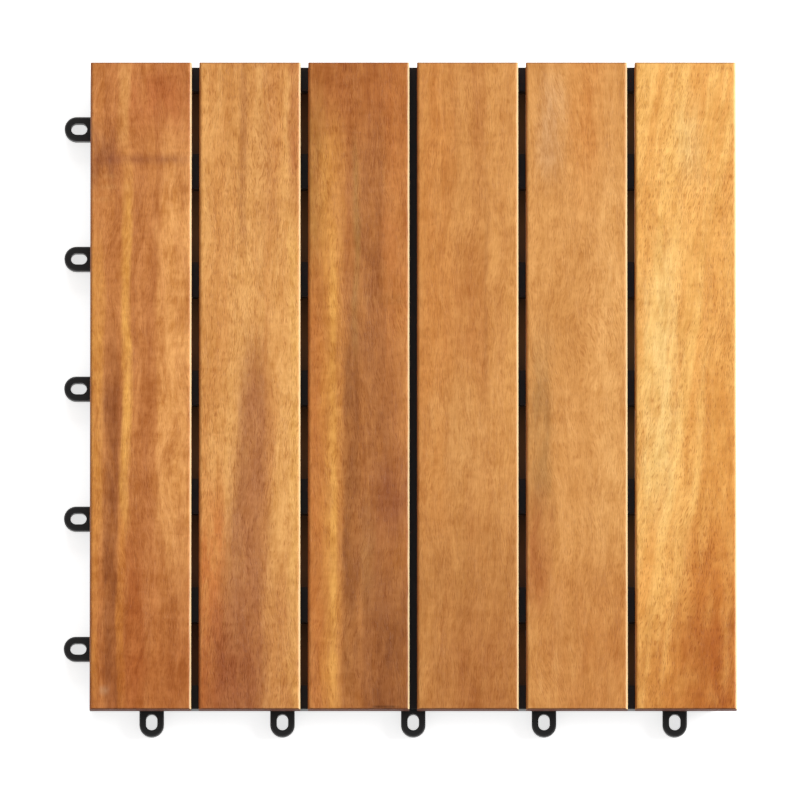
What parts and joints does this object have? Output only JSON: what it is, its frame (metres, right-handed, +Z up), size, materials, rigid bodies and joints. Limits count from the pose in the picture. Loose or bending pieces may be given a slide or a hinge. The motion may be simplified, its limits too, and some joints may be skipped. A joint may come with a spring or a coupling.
{
  "type": "interlocking deck tile",
  "caption": "Square deck tile of oiled wood slats screwed to a black moulded grid, with loops on two sides and hidden pegs on the other two that lock it to its neighbours.",
  "frame": {"origin": "middle of the tile between its joint lines, on the ground, in the plane of the feet", "axes": "+Z up through the deck; +Y along the slats; loops stand out at -X and -Y, pegs hang at +X and +Y"},
  "size_m": [0.3086, 0.3094, 0.024],
  "materials": {
    "base_plastic": "fine moulded, slight sheen",
    "wood_1": "oiled hardwood, softened edges",
    "wood_2": "oiled hardwood, softened edges",
    "wood_3": "oiled hardwood, softened edges",
    "wood_4": "oiled hardwood, softened edges",
    "wood_5": "oiled hardwood, softened edges",
    "wood_6": "oiled hardwood, softened edges",
    "screw_steel": "zinc plated"
  },
  "bodies": {
    "root": {"base_grid": "base_plastic", "slat_1": "wood_1", "slat_2": "wood_2", "slat_3": "wood_3", "slat_4": "wood_4", "slat_5": "wood_5", "slat_6": "wood_6", "slat_screws": "screw_steel"}
  },
  "joints": []
}
